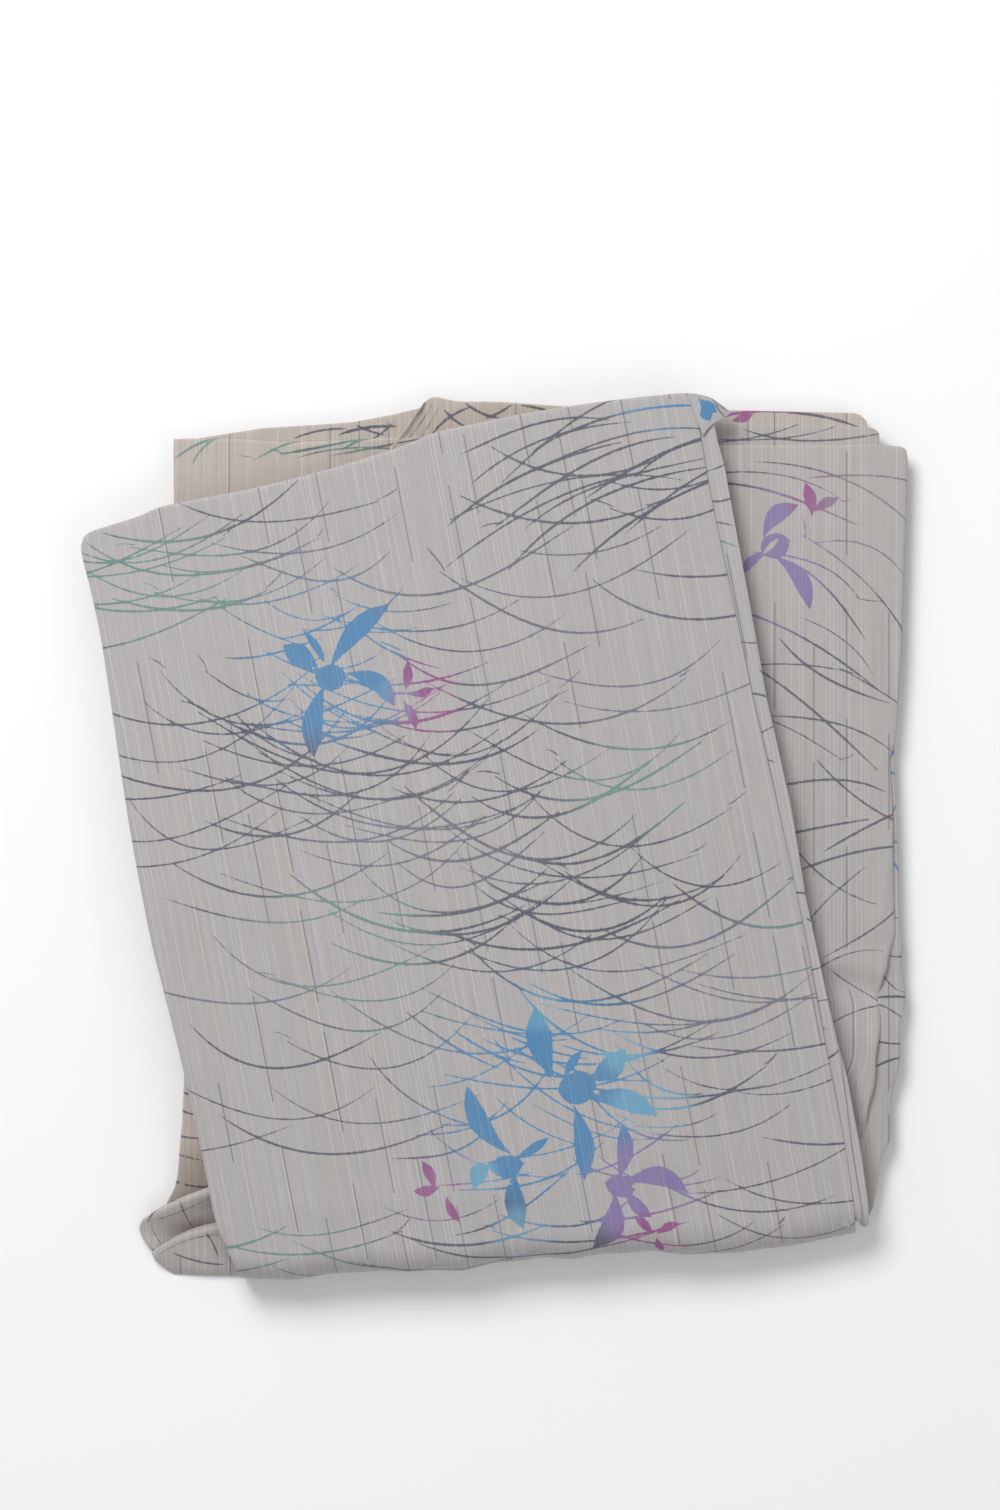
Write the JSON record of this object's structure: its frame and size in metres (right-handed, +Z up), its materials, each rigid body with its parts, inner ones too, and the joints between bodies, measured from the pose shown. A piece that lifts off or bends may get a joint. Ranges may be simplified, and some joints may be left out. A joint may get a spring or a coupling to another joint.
{
  "type": "folded cotton yukata robe",
  "caption": "Lightweight unlined cotton summer robe with a grass and flower print, folded into a flat rectangular packet and laid on a surface.",
  "frame": {"origin": "middle of the packet's footprint, on the surface it lies on", "axes": "+Z up out of the top leaf, +Y towards the head of the packet where the collar lies, +X towards its open edges"},
  "size_m": [0.39, 0.4166, 0.03],
  "materials": {
    "printed_cotton": "matt plain weave with fine warp stripes and a stencilled print"
  },
  "bodies": {
    "root": {"folded_layers": "printed_cotton", "back_panel": "printed_cotton", "front_panel": "printed_cotton", "front_hem_upper": "printed_cotton", "front_hem_lower": "printed_cotton", "overlap_upper": "printed_cotton", "overlap_under": "printed_cotton", "overlap_corner": "printed_cotton", "sleeve_upper": "printed_cotton", "sleeve_under": "printed_cotton", "collar": "printed_cotton"}
  },
  "joints": []
}
